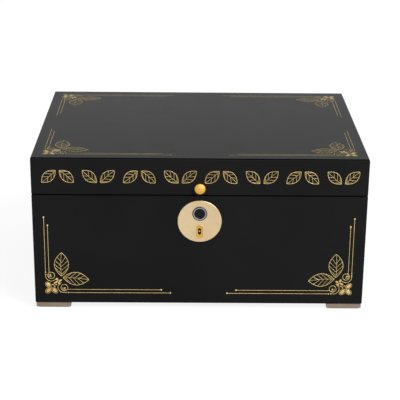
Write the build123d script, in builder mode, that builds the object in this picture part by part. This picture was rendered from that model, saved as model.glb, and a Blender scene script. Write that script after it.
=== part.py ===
from build123d import *
from math import asin, cos, degrees, pi, radians, sin
import os

# A lacquered humidor chest with a cedar lining, an electronic lock and a sliding tray.
# Millimetres. The origin is on the floor below the centre of the case. The front faces -Y.

# Case
box_width = 380
box_depth = 280
body_height = 133.2
lid_height = 42.5
lid_gap = 0.6
foot_height = 7
wall = 14
corner_radius = 1.5
edge_radius = 1.0
bottom_thickness = 8
bottom_rebate = 7
lid_top_thickness = 9

# Cedar lining
liner = 6
cedar_floor_thickness = 5
lid_cedar_thickness = 5
lip_height = 8
lip_clearance = 0.5
lip_chamfer = 1.5
strip_gap = 1.5

# Feet
foot_size = 40
foot_inset = 1
pad_thickness = 1
pad_margin = 2
foot_chamfer = 0.6

# Hinges
hinge_spacing = 220
leaf_length = 50
leaf_thickness = 1.5
leaf_depth = 12
knuckle_radius = 2.8
knuckle_clearance = 0.3
knuckle_gap = 0.2
middle_knuckle = 18
pin_radius = 1.2
pin_clearance = 0.05
axis_behind_back = 3
stop_angle = 95
stop_slack = 1
heel_reach = 6.3
heel_drop = 8

# Countersunk screws of the hinges and the strike
screw_radius = 1.2
screw_head_radius = 2.4
screw_head_height = 1.2
screw_length = 11
screw_spacing = 17
hole_clearance = 0.05

# Lock: the round plate, the sensor and the keyhole on the front
plate_height = 102.5
plate_radius = 25
plate_thickness = 1.2
plate_chamfer = 0.4
sensor_height = 112
bezel_radius = 8.5
bezel_proud = 0.9
bezel_outer_edge = 0.3
bezel_inner_edge = 0.2
bezel_crown_shift = 0.2
barrel_radius = 7
pad_radius = 5.7
pad_edge = 0.1
pad_crown = 0.4
insert_height = 90.1
insert_width = 7.9
insert_length = 16
insert_radius = 3.5
insert_proud = 0.3
insert_rounding = 0.25
key_height = 90.6
keyhole_width = 3.6
keyhole_length = 8
drill_pin_radius = 0.8
drill_pin_proud = 0.8

# Lock: the case behind the plate
lock_skin = 3
lock_width = 44
lock_low = 79
lock_high = 128
lock_sheet = 1
lock_corner = 3
lock_cover_thickness = 1.6
lock_cover_recess = 0.2
lock_clearance = 0.3
boss_x = 18.9
boss_z = 9.5
boss_radius = 1.9
boss_end = 6
boss_skin = 1.5
lock_screw_skin = 2

# Lock: the sliding latch and the two cranks that push it
latch_stroke = 7
crank_turn = 90
crank_pin_radius = 1.2
crank_side_play = 0.3
latch_thickness = 1.5
latch_front = 4.4
key_cam_radius = 6.6
drive_disc_radius = 6.4
drive_x = 10
drive_height = 99
post_radius = 1.2
post_play = 0.15
latch_posts = ((-5, 101), (7, 96))
latch_sides = (-16, 9.8)
latch_below_key = 4.2
latch_above_key = 17
nose_stem = -12.6
nose_tip = -6.8
nose_slant = 1.2
nose_play = (0.7, 0.5)
cam_play = 0.3
cam_slot_depth = 1.6
crank_gap = 0.6
drive_disc_thickness = 2
shaft_radius = 1
shaft_length = 3
shaft_room = 1

# Lock: gear motor, battery and control board
gearbox_size = 12
gearbox_corner = 1
motor_radius = 3
battery_x = -11
battery_above_key = 3
battery_height = 22
battery_rounding = 0.8
board_width = 34
board_height = 18
board_below_top = 11
board_thickness = 1.2
standoff_x = 14
standoff_below_top = 5
standoff_radius = 1.5
standoff_height = 1.6
chip_size = 7
chip_places = ((-8, 0), (7, 1))
chip_thickness = 1
socket_pin = (2.4, 1.6)
socket_pitch = 5
socket_count = 4
socket_drop = 6.5

# Strike under the lid's front rail
strike_width = 32
strike_depth = 10
strike_thickness = 1.5
strike_screw_inset = 5
tongue_thickness = 2
tongue_stem = (0.9, 4.9)
tongue_foot_x = -5
tongue_drop = 15.3
tongue_chamfer = 1
tongue_foot_height = 2.5
tongue_play = 1.1

# Knob on the lid
knob_above_seam = 9.5
knob_radius = 6.15
knob_reach = 8
knob_collar_radius = 4.4
knob_collar = 0.7
knob_neck_radius = 3.3
knob_neck = (1.3, 3.1)
knob_shoulder_radius = 5.5
knob_head = (3.7, 4.8, 6.1)
knob_thread_depth = 5
knob_screw_radius = 1.6
knob_screw_play = 0.5
knob_screw_head_radius = 3.5
knob_screw_head = 2.2
knob_screw_crown = 1
knob_counterbore = 6

# Tray, ledges and dividers
ledge_top = 84
ledge_height = 10
ledge_depth = 8
tray_width = 210
tray_height = 58
tray_wall = 6
tray_clearance = 0.5
tray_floor_rise = 4
tray_floor_thickness = 4
tray_groove = 3
finger_count = 7
floor_slot = (48, 7)
floor_slot_pitch = (62, 38)
floor_slot_grid = (3, 5)
scoop_width = 70
scoop_depth = 16
tray_divider_height = 45
tray_divider_thickness = 5
lower_divider_height = 50
lower_divider_thickness = 6
divider_clearance = 0.5
notch_width = 44
notch_depth = 10

# Humidifier and hygrometer under the lid
humidifier_x = -70
humidifier_width = 120
humidifier_depth = 50
humidifier_height = 14
humidifier_wall = 2
humidifier_corner = 6
humidifier_rounding = 0.9
grille_recess = 0.6
grille_thickness = 2
grille_slot = (15, 4)
grille_pitch = (11.5, 18)
grille_grid = (9, 2)
foam_margin = 2
hygrometer_x = 90
hygrometer_radius = 24
hygrometer_height = 11
hygrometer_wall = 1.6
hygrometer_floor = 2
dial_seat = 1.2
dial_depth = 6.5
dial_thickness = 0.8
glass_depth = 9.5
glass_thickness = 1.5
bearing_radius = 3
bearing_depth = 4
bearing_floor = 1.2
rim_outside = ((0, 4), (1.4, 3.4), (1.8, 0), (0.6, -1.4))
rim_inside = ((-0.6, -1), (-1.6, 0))
spindle_radius = 0.8
spindle_clearance = 0.08
needle_reading = 54
needle_hub = 2
needle_thickness = 0.5
needle_length = 17
needle_tail = 5
needle_half_widths = (0.2, 0.9, 1.2)
needle_above_dial = 0.7
spindle_top = 1.5

# Values worked out from the ones above
body_bottom = foot_height
rim_z = body_bottom + body_height
lid_bottom = rim_z + lid_gap
seam_z = rim_z + lid_gap / 2
lid_top = lid_bottom + lid_height
front_y = -box_depth / 2
back_y = box_depth / 2
inner_width = box_width - 2 * wall
inner_depth = box_depth - 2 * wall
room_width = inner_width - 2 * liner
room_depth = inner_depth - 2 * liner
floor_z = body_bottom + bottom_thickness + cedar_floor_thickness
lip_top = rim_z + lip_height
lid_wall = wall - lip_clearance
lid_inner_width = box_width - 2 * lid_wall
lid_inner_depth = box_depth - 2 * lid_wall
rail_top = lid_top - lid_top_thickness
ceiling_z = rail_top - lid_cedar_thickness
axis_y = back_y + axis_behind_back
skin_back_y = front_y + lock_skin
cover_back_y = front_y + wall + liner - lock_cover_recess
cover_front_y = cover_back_y - lock_cover_thickness
lock_centre_z = body_bottom + (lock_low + lock_high) / 2
lock_tall = lock_high - lock_low
plate_z = body_bottom + plate_height
sensor_z = body_bottom + sensor_height
insert_z = body_bottom + insert_height
key_z = body_bottom + key_height
drive_z = body_bottom + drive_height
knob_z = seam_z + knob_above_seam
latch_front_y = skin_back_y + latch_front
latch_back_y = latch_front_y + latch_thickness
tongue_y = (latch_front_y + latch_back_y) / 2
crank_radius = latch_stroke / (2 * sin(radians(crank_turn / 2)))
tray_low_x = -room_width / 2 + tray_clearance
tray_x = tray_low_x + tray_width / 2
tray_depth = room_depth - 2 * tray_clearance
tray_floor_z = ledge_top + tray_floor_rise

sides = ("front", "right", "back", "left")
front_plane = Plane.XZ
centred_top = (Align.CENTER, Align.CENTER, Align.MAX)
centred_low = (Align.CENTER, Align.CENTER, Align.MIN)

os.makedirs("parts", exist_ok=True)


def save(piece, label):
    piece.part.label = label
    export_step(piece.part, f"parts/{label}.step")


# A plane parallel to the front face whose sketches read as x and z, seen from the front
def plane_at_y(y):
    return front_plane.offset(-y)


def corner_points(width, depth):
    x, y = width / 2, depth / 2
    return [(-x, -y), (x, -y), (x, y), (-x, y)]


# One wall of a box with mitred corners and eased outer edges
def mitred_board(side, low, height, thickness, eased_top, eased_bottom):
    start = sides.index(side)
    end = (start + 1) % len(sides)
    outer = corner_points(box_width, box_depth)
    inner = corner_points(box_width - 2 * thickness, box_depth - 2 * thickness)
    with BuildPart() as board:
        with BuildSketch(Plane.XY.offset(low)):
            RectangleRounded(box_width, box_depth, corner_radius)
        extrude(amount=height)
        levels = board.edges().group_by(Axis.Z)
        if eased_bottom:
            fillet(levels[0], radius=edge_radius)
        if eased_top:
            fillet(levels[-1], radius=edge_radius)
        with BuildSketch(Plane.XY.offset(low)):
            Polygon(outer[start], outer[end], inner[end], inner[start], align=None)
        extrude(amount=height, mode=Mode.INTERSECT)
    return board.part


# Countersunk screw, or its hole with some clearance, hanging from the level of its head
def countersunk(clearance=0, mode=Mode.ADD):
    Cone(
        bottom_radius=screw_radius + clearance,
        top_radius=screw_head_radius + clearance,
        height=screw_head_height,
        align=centred_top,
        mode=mode,
    )
    Cylinder(screw_radius + clearance, screw_length, align=centred_top, mode=mode)


# Centres of the two hinges and of the screws in their leaves
hinge_centres = [-hinge_spacing / 2, hinge_spacing / 2]
leaf_screw_y = back_y - leaf_depth + (leaf_depth - leaf_thickness) / 2
leaf_screw_steps = (-screw_spacing, 0, screw_spacing)
leaf_screws = [(x + dx, leaf_screw_y) for x in hinge_centres for dx in leaf_screw_steps]
strike_screw_x = strike_width / 2 - strike_screw_inset
strike_screws = [(-strike_screw_x, tongue_y), (strike_screw_x, tongue_y)]
lock_bosses = [(x, plate_z + z) for x in (-boss_x, boss_x) for z in (-boss_z, boss_z)]


# Recesses for the hinge leaves, cut from the rim at this level and from the back face
def leaf_mortises(level):
    for x in hinge_centres:
        with BuildSketch(Plane.YZ.offset(x - leaf_length / 2)) as recess:
            with Locations((back_y, level)):
                Rectangle(2 * leaf_depth, 2 * leaf_thickness)
                Rectangle(2 * leaf_thickness, 2 * (heel_drop - lid_gap / 2))
        extrude(recess.sketch, amount=leaf_length, mode=Mode.SUBTRACT)


# Body walls, rebated at the bottom for the panel
def body_board(side):
    return mitred_board(side, body_bottom, body_height, wall, True, True)


def bottom_rebate_cut():
    with BuildSketch(Plane.XY.offset(body_bottom)) as rebate:
        Rectangle(box_width - 2 * bottom_rebate, box_depth - 2 * bottom_rebate)
    extrude(rebate.sketch, amount=bottom_thickness, mode=Mode.SUBTRACT)


for side in ("left", "right"):
    blank = body_board(side)
    with BuildPart() as side_wall:
        add(blank)
        bottom_rebate_cut()
    save(side_wall, f"{side}_wall")

blank = body_board("back")
with BuildPart() as back_wall:
    add(blank)
    bottom_rebate_cut()
    leaf_mortises(rim_z)
    with Locations(*[(x, y, rim_z - leaf_thickness) for x, y in leaf_screws]):
        Cylinder(screw_radius + hole_clearance, screw_length, align=centred_top, mode=Mode.SUBTRACT)
save(back_wall, "back_wall")

# Front wall: pocket for the lock case, its openings to the front, and the slot for the tongue
blank = body_board("front")
with BuildPart() as front_wall:
    add(blank)
    bottom_rebate_cut()
    with BuildSketch(plane_at_y(skin_back_y)):
        with Locations((0, lock_centre_z)):
            RectangleRounded(
                lock_width + 2 * lock_clearance,
                lock_tall + 2 * lock_clearance,
                lock_corner + lock_clearance,
            )
    extrude(amount=-wall, mode=Mode.SUBTRACT)
    with BuildSketch(plane_at_y(front_y)):
        with Locations((0, sensor_z)):
            Circle(barrel_radius + hole_clearance)
        with Locations((0, insert_z)):
            RectangleRounded(insert_width, insert_length, insert_radius)
        with Locations(*lock_bosses):
            Circle(boss_radius + hole_clearance)
    extrude(amount=-lock_skin, mode=Mode.SUBTRACT)
    with BuildSketch(Plane.XY.offset(body_bottom + lock_high)):
        with Locations(((tongue_stem[1] + tongue_foot_x) / 2, tongue_y)):
            Rectangle(
                tongue_stem[1] - tongue_foot_x + 4 * tongue_play,
                tongue_thickness + 2 * tongue_play,
            )
    extrude(amount=rim_z - body_bottom - lock_high, mode=Mode.SUBTRACT)
save(front_wall, "front_wall")

# Bottom panel let into the walls
with BuildPart() as bottom_panel:
    with BuildSketch(Plane.XY.offset(body_bottom)):
        Rectangle(box_width - 2 * bottom_rebate, box_depth - 2 * bottom_rebate)
    extrude(amount=bottom_thickness)
save(bottom_panel, "bottom_panel")

# Four square feet with felt pads
foot_centres = GridLocations(
    box_width - 2 * foot_inset - foot_size, box_depth - 2 * foot_inset - foot_size, 2, 2
)
with BuildPart() as feet:
    with BuildSketch(Plane.XY.offset(pad_thickness)):
        with foot_centres:
            Rectangle(foot_size, foot_size)
    extrude(amount=foot_height - pad_thickness)
    chamfer(feet.edges().group_by(Axis.Z)[0], length=foot_chamfer)
save(feet, "feet")

with BuildPart() as foot_pads:
    with BuildSketch():
        with foot_centres:
            RectangleRounded(foot_size - 2 * pad_margin, foot_size - 2 * pad_margin, pad_margin)
    extrude(amount=pad_thickness)
save(foot_pads, "foot_pads")

# Cedar lining of the body; the boards stand above the rim as a sealing lip
with BuildPart() as cedar_floor:
    with BuildSketch(Plane.XY.offset(floor_z - cedar_floor_thickness)):
        Rectangle(inner_width, inner_depth)
    extrude(amount=cedar_floor_thickness)
save(cedar_floor, "cedar_floor")


def liner_board(width, depth, x, y, outward):
    with BuildPart() as board:
        with BuildSketch(Plane.XY.offset(floor_z)):
            with Locations((x, y)):
                Rectangle(width, depth)
        extrude(amount=lip_top - floor_z)
        top_edges = board.edges().group_by(Axis.Z)[-1]
        chamfer(top_edges.sort_by(outward)[-1], length=lip_chamfer)
    return board


liner_y = (room_depth + liner) / 2
liner_x = (room_width + liner) / 2
save(liner_board(inner_width, liner, 0, liner_y, Axis.Y), "liner_back")
save(liner_board(liner, room_depth, -liner_x, 0, -Axis.X), "liner_left")
save(liner_board(liner, room_depth, liner_x, 0, Axis.X), "liner_right")

blank = liner_board(inner_width, liner, 0, -liner_y, -Axis.Y)
with BuildPart() as liner_front:
    add(blank.part)
    with BuildSketch(plane_at_y(front_y + wall)):
        with Locations((0, lock_centre_z)):
            RectangleRounded(
                lock_width + 2 * lock_clearance,
                lock_tall + 2 * lock_clearance,
                lock_corner + lock_clearance,
            )
    extrude(amount=-liner, mode=Mode.SUBTRACT)
save(liner_front, "liner_front")

with BuildPart() as tray_ledges:
    with BuildSketch(Plane.XY.offset(ledge_top - ledge_height)):
        with GridLocations(0, room_depth - ledge_depth, 1, 2):
            Rectangle(room_width, ledge_depth)
    extrude(amount=ledge_height)
save(tray_ledges, "tray_ledges")

# Lid shell
with BuildPart() as lid_top_panel:
    with BuildSketch(Plane.XY.offset(rail_top)):
        RectangleRounded(box_width, box_depth, corner_radius)
    extrude(amount=lid_top_thickness)
    fillet(lid_top_panel.edges().group_by(Axis.Z)[-1], radius=edge_radius)
save(lid_top_panel, "lid_top_panel")


def lid_board(side):
    return mitred_board(side, lid_bottom, rail_top - lid_bottom, lid_wall, False, True)


for side in ("left", "right"):
    blank = lid_board(side)
    with BuildPart() as lid_rail:
        add(blank)
    save(lid_rail, f"lid_{side}_rail")

blank = lid_board("back")
with BuildPart() as lid_back_rail:
    add(blank)
    leaf_mortises(lid_bottom)
    with Locations(*[(x, y, lid_bottom + leaf_thickness) for x, y in leaf_screws]):
        Cylinder(screw_radius + hole_clearance, screw_length, align=centred_low, mode=Mode.SUBTRACT)
save(lid_back_rail, "lid_back_rail")

blank = lid_board("front")
with BuildPart() as lid_front_rail:
    add(blank)
    with BuildSketch(Plane.XY.offset(lid_bottom)):
        with Locations((0, tongue_y)):
            Rectangle(strike_width, strike_depth)
    extrude(amount=strike_thickness, mode=Mode.SUBTRACT)
    with Locations(*[(x, y, lid_bottom + strike_thickness) for x, y in strike_screws]):
        Cylinder(screw_radius + hole_clearance, screw_length, align=centred_low, mode=Mode.SUBTRACT)
    with BuildSketch(plane_at_y(front_y)):
        with Locations((0, knob_z)):
            Circle(knob_screw_radius + hole_clearance)
    extrude(amount=-lid_wall, mode=Mode.SUBTRACT)
    with BuildSketch(plane_at_y(front_y + lid_wall)):
        with Locations((0, knob_z)):
            Circle(knob_screw_head_radius + 2 * hole_clearance)
    extrude(amount=knob_counterbore, mode=Mode.SUBTRACT)
save(lid_front_rail, "lid_front_rail")

# Cedar lining of the lid: a panel and four strips that stop above the lip
with BuildPart() as lid_liner_panel:
    with BuildSketch(Plane.XY.offset(ceiling_z)):
        Rectangle(lid_inner_width, lid_inner_depth)
    extrude(amount=lid_cedar_thickness)
save(lid_liner_panel, "lid_liner_panel")

with BuildPart() as lid_liner_strips:
    with BuildSketch(Plane.XY.offset(lip_top + strip_gap)):
        with GridLocations(0, lid_inner_depth - liner, 1, 2):
            Rectangle(lid_inner_width, liner)
        with GridLocations(lid_inner_width - liner, 0, 2, 1):
            Rectangle(liner, lid_inner_depth)
    extrude(amount=ceiling_z - lip_top - strip_gap)
save(lid_liner_strips, "lid_liner_strips")


# Hinge leaf: a plate let into the rim, a plate down the back and a heel that stops the lid
def hinge_leaf(x, direction, knuckles):
    half_stop = radians(stop_angle / 2 + stop_slack / 2)
    rise = lid_gap / 2
    inside = -axis_behind_back - leaf_depth
    let_in = -axis_behind_back - leaf_thickness
    outline = [
        (inside, rise),
        (0, rise),
        (heel_reach * cos(half_stop), heel_reach * sin(half_stop)),
        (heel_reach / 5, heel_reach + lid_gap),
        (-axis_behind_back, heel_drop),
        (let_in, heel_drop),
        (let_in, rise + leaf_thickness),
        (inside, rise + leaf_thickness),
    ]
    outline = [(y, direction * z) for y, z in outline]
    start = x - leaf_length / 2
    with BuildPart() as leaf:
        with BuildSketch(Plane.YZ.offset(start)):
            with Locations((axis_y, seam_z)):
                Polygon(*outline, align=None)
                Circle(knuckle_radius + knuckle_clearance, mode=Mode.SUBTRACT)
        extrude(amount=leaf_length)
        for low, high in knuckles:
            with BuildSketch(Plane.YZ.offset(start + low)):
                with Locations((axis_y, seam_z)):
                    Polygon(*outline, align=None)
                    Circle(knuckle_radius)
            extrude(amount=high - low)
        bore = pin_radius + (pin_clearance if direction > 0 else 0)
        with BuildSketch(Plane.YZ.offset(start)):
            with Locations((axis_y, seam_z)):
                Circle(bore)
        extrude(amount=leaf_length, mode=Mode.SUBTRACT)
        flip = 180 if direction > 0 else 0
        for dx in leaf_screw_steps:
            with Locations(Location((x + dx, leaf_screw_y, seam_z + direction * rise), (flip, 0, 0))):
                countersunk(hole_clearance, Mode.SUBTRACT)
    return leaf


outer_knuckle = (leaf_length - middle_knuckle) / 2
first_gap = (outer_knuckle - knuckle_gap / 2, outer_knuckle + knuckle_gap / 2)
second_gap = (leaf_length - first_gap[1], leaf_length - first_gap[0])
body_knuckles = [(0, first_gap[0]), (second_gap[1], leaf_length)]
lid_knuckles = [(first_gap[1], second_gap[0])]
for hand, x in zip(("left", "right"), hinge_centres):
    save(hinge_leaf(x, -1, body_knuckles), f"hinge_body_leaf_{hand}")
    save(hinge_leaf(x, 1, lid_knuckles), f"hinge_lid_leaf_{hand}")

with BuildPart() as hinge_pins:
    for x in hinge_centres:
        with BuildSketch(Plane.YZ.offset(x - leaf_length / 2)):
            with Locations((axis_y, seam_z)):
                Circle(pin_radius)
        extrude(amount=leaf_length)
save(hinge_pins, "hinge_pins")

with BuildPart() as hinge_body_screws:
    with Locations(*[(x, y, rim_z) for x, y in leaf_screws]):
        countersunk()
save(hinge_body_screws, "hinge_body_screws")

# Screws of the lid's hinge leaves and of the strike, all driven up from below
with BuildPart() as lid_screws:
    for x, y in leaf_screws + strike_screws:
        with Locations(Location((x, y, lid_bottom), (180, 0, 0))):
            countersunk()
save(lid_screws, "lid_screws")

# Strike: a plate let into the lid's front rail, with a hooked tongue
with BuildPart() as strike_plate:
    with BuildSketch(Plane.XY.offset(lid_bottom)):
        with Locations((0, tongue_y)):
            Rectangle(strike_width, strike_depth)
    extrude(amount=strike_thickness)
    with BuildSketch(plane_at_y(tongue_y - tongue_thickness / 2)):
        tip = lid_bottom - tongue_drop
        Polygon(
            (tongue_stem[0], lid_bottom),
            (tongue_stem[1], lid_bottom),
            (tongue_stem[1], tip + tongue_chamfer),
            (tongue_stem[1] - tongue_chamfer, tip),
            (tongue_foot_x, tip),
            (tongue_foot_x, tip + tongue_foot_height),
            (tongue_stem[0], tip + tongue_foot_height),
            align=None,
        )
    extrude(amount=-tongue_thickness)
    for x, y in strike_screws:
        with Locations(Location((x, y, lid_bottom), (180, 0, 0))):
            countersunk(hole_clearance, Mode.SUBTRACT)
save(strike_plate, "strike_plate")

# Domed end of a turned profile, from its rim to its top, with the centre on the axis
def dome(rim_radius, rim_level, top_level):
    rise = rim_level - top_level
    radius = (rim_radius**2 + rise**2) / (2 * rise)
    CenterArc((0, top_level + radius), radius, 270, degrees(asin(rim_radius / radius)))


# Knob: a collar, a neck and a domed head, turned about an axis out of the front
knob_plane = Plane(origin=(0, front_y, knob_z), x_dir=(1, 0, 0), z_dir=(0, 0, 1))
knob_axis = Axis((0, front_y, knob_z), (0, 1, 0))
with BuildPart() as lid_knob:
    with BuildSketch(knob_plane):
        with BuildLine():
            Polyline(
                (0, 0),
                (knob_collar_radius, 0),
                (knob_collar_radius, -knob_collar),
                (knob_neck_radius, -knob_neck[0]),
                (knob_neck_radius, -knob_neck[1]),
                (knob_shoulder_radius, -knob_head[0]),
            )
            ThreePointArc(
                (knob_shoulder_radius, -knob_head[0]),
                (knob_radius, -knob_head[1]),
                (knob_shoulder_radius, -knob_head[2]),
            )
            dome(knob_shoulder_radius, -knob_head[2], -knob_reach)
            Line((0, -knob_reach), (0, 0))
        make_face()
    revolve(axis=knob_axis)
    with BuildSketch(plane_at_y(front_y)):
        with Locations((0, knob_z)):
            Circle(knob_screw_radius)
    extrude(amount=knob_thread_depth, mode=Mode.SUBTRACT)
save(lid_knob, "lid_knob")

with BuildPart() as knob_screw:
    with BuildSketch(plane_at_y(front_y + lid_wall - knob_counterbore)):
        with Locations((0, knob_z)):
            Circle(knob_screw_radius)
    extrude(amount=lid_wall - knob_counterbore + knob_thread_depth - knob_screw_play)
    with BuildSketch(plane_at_y(front_y + lid_wall - knob_counterbore)):
        with Locations((0, knob_z)):
            Circle(knob_screw_head_radius)
    extrude(amount=-knob_screw_head)
    crown = knob_screw.edges().filter_by(GeomType.CIRCLE).sort_by(Axis.Y)[-1]
    fillet(crown, radius=knob_screw_crown)
save(knob_screw, "knob_screw")

# Lock plate with the bosses that take the screws from inside
with BuildPart() as lock_plate:
    with BuildSketch(plane_at_y(front_y)):
        with Locations((0, plate_z)):
            Circle(plate_radius)
    extrude(amount=plate_thickness)
    chamfer(lock_plate.edges().filter_by(GeomType.CIRCLE).sort_by(Axis.Y)[0], length=plate_chamfer)
    with BuildSketch(plane_at_y(front_y)):
        with Locations(*lock_bosses):
            Circle(boss_radius)
    extrude(amount=-boss_end)
    with BuildSketch(plane_at_y(front_y - plate_thickness)):
        with Locations((0, sensor_z)):
            Circle(barrel_radius + hole_clearance)
        with Locations((0, insert_z)):
            RectangleRounded(insert_width, insert_length, insert_radius)
    extrude(amount=-plate_thickness, mode=Mode.SUBTRACT)
    with BuildSketch(plane_at_y(front_y + boss_skin)):
        with Locations(*lock_bosses):
            Circle(screw_radius)
    extrude(amount=boss_skin - boss_end, mode=Mode.SUBTRACT)
save(lock_plate, "lock_plate")

# Sensor: a chrome ring with a barrel through the front, and the round pad inside it
sensor_plane = Plane(origin=(0, front_y - plate_thickness, sensor_z), x_dir=(1, 0, 0), z_dir=(0, 0, 1))
sensor_axis = Axis((0, front_y - plate_thickness, sensor_z), (0, 1, 0))
through_lock = plate_thickness + lock_skin + lock_sheet
barrel_length = through_lock + lock_sheet
with BuildPart() as sensor_bezel:
    with BuildSketch(sensor_plane):
        with BuildLine():
            Polyline(
                (pad_radius + hole_clearance, -bezel_inner_edge),
                (pad_radius + hole_clearance, barrel_length),
                (barrel_radius, barrel_length),
                (barrel_radius, 0),
                (bezel_radius, 0),
                (bezel_radius, -bezel_outer_edge),
            )
            ThreePointArc(
                (bezel_radius, -bezel_outer_edge),
                ((bezel_radius + pad_radius) / 2 + bezel_crown_shift, -bezel_proud),
                (pad_radius + hole_clearance, -bezel_inner_edge),
            )
        make_face()
    revolve(axis=sensor_axis)
save(sensor_bezel, "sensor_bezel")

with BuildPart() as sensor_pad:
    with BuildSketch(sensor_plane):
        with BuildLine():
            dome(pad_radius, -pad_edge, -pad_crown)
            Polyline(
                (pad_radius, -pad_edge),
                (pad_radius, through_lock),
                (0, through_lock),
                (0, -pad_crown),
            )
        make_face()
    revolve(axis=sensor_axis)
save(sensor_pad, "sensor_pad")

# Keyhole insert with its slot, and the drill pin that a barrel key goes over
insert_face_y = front_y - plate_thickness - insert_proud
with BuildPart() as keyhole_insert:
    with BuildSketch(plane_at_y(insert_face_y)):
        with Locations((0, insert_z)):
            RectangleRounded(insert_width, insert_length, insert_radius)
    extrude(amount=-through_lock - insert_proud)
    fillet(keyhole_insert.faces().sort_by(Axis.Y)[0].edges(), radius=insert_rounding)
    with BuildSketch(plane_at_y(insert_face_y)):
        with Locations((0, key_z)):
            SlotOverall(keyhole_length, keyhole_width, rotation=90)
    extrude(amount=-through_lock - insert_proud, mode=Mode.SUBTRACT)
save(keyhole_insert, "keyhole_insert")

with BuildPart() as drill_pin:
    with BuildSketch(plane_at_y(cover_front_y)):
        with Locations((0, key_z)):
            Circle(drill_pin_radius)
    extrude(amount=cover_front_y - front_y + drill_pin_proud)
save(drill_pin, "drill_pin")

# Lock case: a folded sheet box, open to the inside, with two guide posts for the latch
case_depth = cover_front_y - skin_back_y
with BuildPart() as lock_case:
    with BuildSketch(plane_at_y(skin_back_y)):
        with Locations((0, lock_centre_z)):
            RectangleRounded(lock_width, lock_tall, lock_corner)
    extrude(amount=-case_depth)
    with BuildSketch(plane_at_y(skin_back_y + lock_sheet)):
        with Locations((0, lock_centre_z)):
            RectangleRounded(
                lock_width - 2 * lock_sheet, lock_tall - 2 * lock_sheet, lock_corner - lock_sheet
            )
    extrude(amount=lock_sheet - case_depth, mode=Mode.SUBTRACT)
    with BuildSketch(plane_at_y(skin_back_y)):
        with Locations((0, sensor_z)):
            Circle(barrel_radius + hole_clearance)
        with Locations((0, insert_z)):
            RectangleRounded(insert_width, insert_length, insert_radius)
        with Locations(*lock_bosses):
            Circle(boss_radius + hole_clearance)
    extrude(amount=-lock_sheet, mode=Mode.SUBTRACT)
    with BuildSketch(Plane.XY.offset(body_bottom + lock_high - lock_sheet)):
        with Locations(((tongue_stem[1] + tongue_foot_x) / 2, tongue_y)):
            Rectangle(
                tongue_stem[1] - tongue_foot_x + 4 * tongue_play,
                tongue_thickness + 2 * tongue_play,
            )
    extrude(amount=lock_sheet, mode=Mode.SUBTRACT)
    with BuildSketch(plane_at_y(skin_back_y + lock_sheet)):
        with Locations(*[(x, body_bottom + z) for x, z in latch_posts]):
            Circle(post_radius)
    extrude(amount=skin_back_y + lock_sheet - latch_back_y - post_play)
save(lock_case, "lock_case")

# Cover of the lock case, with standoffs for the board
standoff_z = body_bottom + lock_high - standoff_below_top
with BuildPart() as lock_cover:
    with BuildSketch(plane_at_y(cover_front_y)):
        with Locations((0, lock_centre_z)):
            RectangleRounded(lock_width, lock_tall, lock_corner)
    extrude(amount=-lock_cover_thickness)
    with BuildSketch(plane_at_y(cover_front_y)):
        with Locations((-standoff_x, standoff_z), (standoff_x, standoff_z)):
            Circle(standoff_radius)
    extrude(amount=standoff_height)
    for x, z in lock_bosses:
        with Locations(Location((x, cover_back_y, z), (-90, 0, 0))):
            countersunk(hole_clearance, Mode.SUBTRACT)
save(lock_cover, "lock_cover")

lock_screw_length = cover_back_y - front_y - lock_screw_skin
with BuildPart() as lock_screws:
    for x, z in lock_bosses:
        with Locations(Location((x, cover_back_y, z), (-90, 0, 0))):
            Cone(
                bottom_radius=screw_radius,
                top_radius=screw_head_radius,
                height=screw_head_height,
                align=centred_top,
            )
            Cylinder(screw_radius, lock_screw_length, align=centred_top)
save(lock_screws, "lock_screws")

# Latch: a sliding plate with two crank slots, two guide slots and a nose for the tongue
crank_x = crank_radius * sin(radians(crank_turn / 2))
crank_low = crank_radius * cos(radians(crank_turn / 2))
slot_length = crank_radius - crank_low + 2 * (crank_pin_radius + crank_side_play)
slot_width = 2 * (crank_pin_radius + crank_side_play)
slot_rise = (crank_radius + crank_low) / 2
tongue_tip = lid_bottom - tongue_drop
nose_low = tongue_tip + tongue_foot_height + nose_play[0]
nose_high = body_bottom + lock_high - lock_sheet - nose_play[1]
with BuildPart() as latch_bolt:
    with BuildSketch(plane_at_y(latch_front_y)):
        Polygon(
            (latch_sides[0], key_z - latch_below_key),
            (latch_sides[1], key_z - latch_below_key),
            (latch_sides[1], key_z + latch_above_key),
            (nose_stem, key_z + latch_above_key),
            (nose_stem, nose_low),
            (nose_tip, nose_low),
            (nose_tip - nose_slant, nose_high),
            (latch_sides[0], nose_high),
            align=None,
        )
        with Locations((-crank_x, key_z + slot_rise), (drive_x - crank_x, drive_z + slot_rise)):
            SlotOverall(slot_length, slot_width, rotation=90, mode=Mode.SUBTRACT)
        post_slot = latch_stroke + 2 * (post_radius + post_play)
        with Locations(*[(x - latch_stroke / 2, body_bottom + z) for x, z in latch_posts]):
            SlotOverall(post_slot, 2 * (post_radius + post_play), mode=Mode.SUBTRACT)
        with Locations((-latch_stroke / 2, key_z)):
            SlotOverall(
                latch_stroke + 3 * drill_pin_radius, 3 * drill_pin_radius, mode=Mode.SUBTRACT
            )
    extrude(amount=-latch_thickness)
save(latch_bolt, "latch_bolt")

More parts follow.
